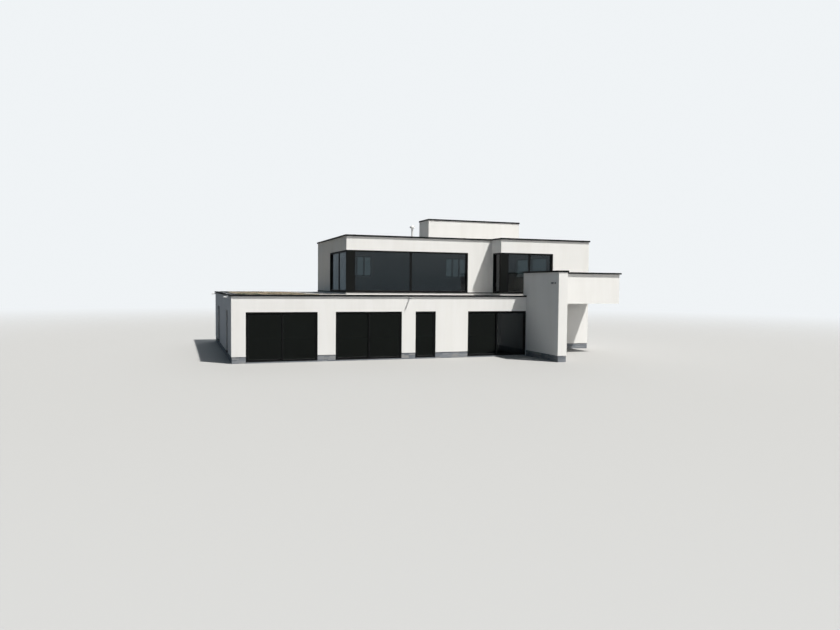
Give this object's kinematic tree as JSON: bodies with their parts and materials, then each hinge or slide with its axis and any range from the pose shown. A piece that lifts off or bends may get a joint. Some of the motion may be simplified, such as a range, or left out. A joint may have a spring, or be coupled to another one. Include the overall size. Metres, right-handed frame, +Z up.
{
  "type": "beach house",
  "caption": "Modern flat-roofed villa in smooth white render: a long glazed ground floor, a set-back upper storey with corner windows, a wing wall and a porch canopy.",
  "frame": {"origin": "middle of the bounding box, at ground level", "axes": "+X runs right along the garden front as seen from the garden, +Y runs from the garden front to the back, +Z is up"},
  "size_m": [23.31, 18.44, 8.3],
  "materials": {
    "render": "smooth white exterior render on masonry",
    "ceiling": "painted concrete slab",
    "floor": "screed with a pale tiled finish",
    "stone": "sawn blue-grey limestone",
    "planted_mat": "dry planted roof mat",
    "gravel": "loose washed gravel",
    "coping": "folded sheet, matt anthracite coating",
    "frame": "extruded profile, satin anthracite coating",
    "post": "sheet cladding, matt dark grey coating",
    "glass": "double glazing, clear with a grey tint",
    "white_metal": "white coated pipe",
    "camera_body": "dark moulded housing"
  },
  "bodies": {
    "house": {"plinth": "stone", "thresholds": "stone", "front_piers": "render", "ground_lintels": "render", "left_wall": "render", "right_walls": "render", "back_piers": "render", "entrance_piers": "render", "wing_wall": "render", "ground_floor": "floor", "ground_roof": "ceiling", "canopy_deck": "render", "canopy_front": "render", "canopy_side": "render", "roof_mat": "planted_mat", "roof_gravel": "gravel", "upper_floor": "floor", "upper_piers": "render", "upper_sills": "render", "upper_front_lintels": "render", "upper_side_lintels": "render", "upper_right_wall": "render", "upper_back_wall": "render", "upper_roof": "ceiling", "upper_gravel": "gravel", "roof_box": "render", "ground_coping": "coping", "upper_coping": "coping", "box_coping": "coping", "canopy_coping": "coping", "upper_flashing": "coping", "window_sills": "coping", "terrace_frames": "frame", "terrace_fixed_leaves": "frame", "ground_window_frames": "frame", "ground_glass": "glass", "upper_window_frames": "frame", "upper_glass": "glass", "corner_posts": "post", "entrance_door": "frame", "vent": "white_metal", "overflow_spouts": "white_metal", "wall_camera": "camera_body"},
    "terrace_leaf_1": {"sliding_leaf_1": "frame", "sliding_glass_1": "glass"},
    "terrace_leaf_2": {"sliding_leaf_2": "frame", "sliding_glass_2": "glass"},
    "terrace_leaf_3": {"sliding_leaf_3": "frame", "sliding_glass_3": "glass"},
    "garden_door": {"garden_door_leaf": "frame", "garden_door_glass": "glass"}
  },
  "joints": [
    {"name": "terrace_slide_1", "type": "slide", "parent": "house", "child": "terrace_leaf_1", "axis": [1, 0, 0], "range_m": [0, 1.655]},
    {"name": "terrace_slide_2", "type": "slide", "parent": "house", "child": "terrace_leaf_2", "axis": [1, 0, 0], "range_m": [0, 1.655]},
    {"name": "terrace_slide_3", "type": "slide", "parent": "house", "child": "terrace_leaf_3", "axis": [1, 0, 0], "range_m": [0, 1.655]},
    {"name": "garden_door_hinge", "type": "hinge", "parent": "house", "child": "garden_door", "pos_m": [-1.511, -5.461, 1.13], "axis": [0, 0, 1], "range_deg": [0, 90]}
  ]
}
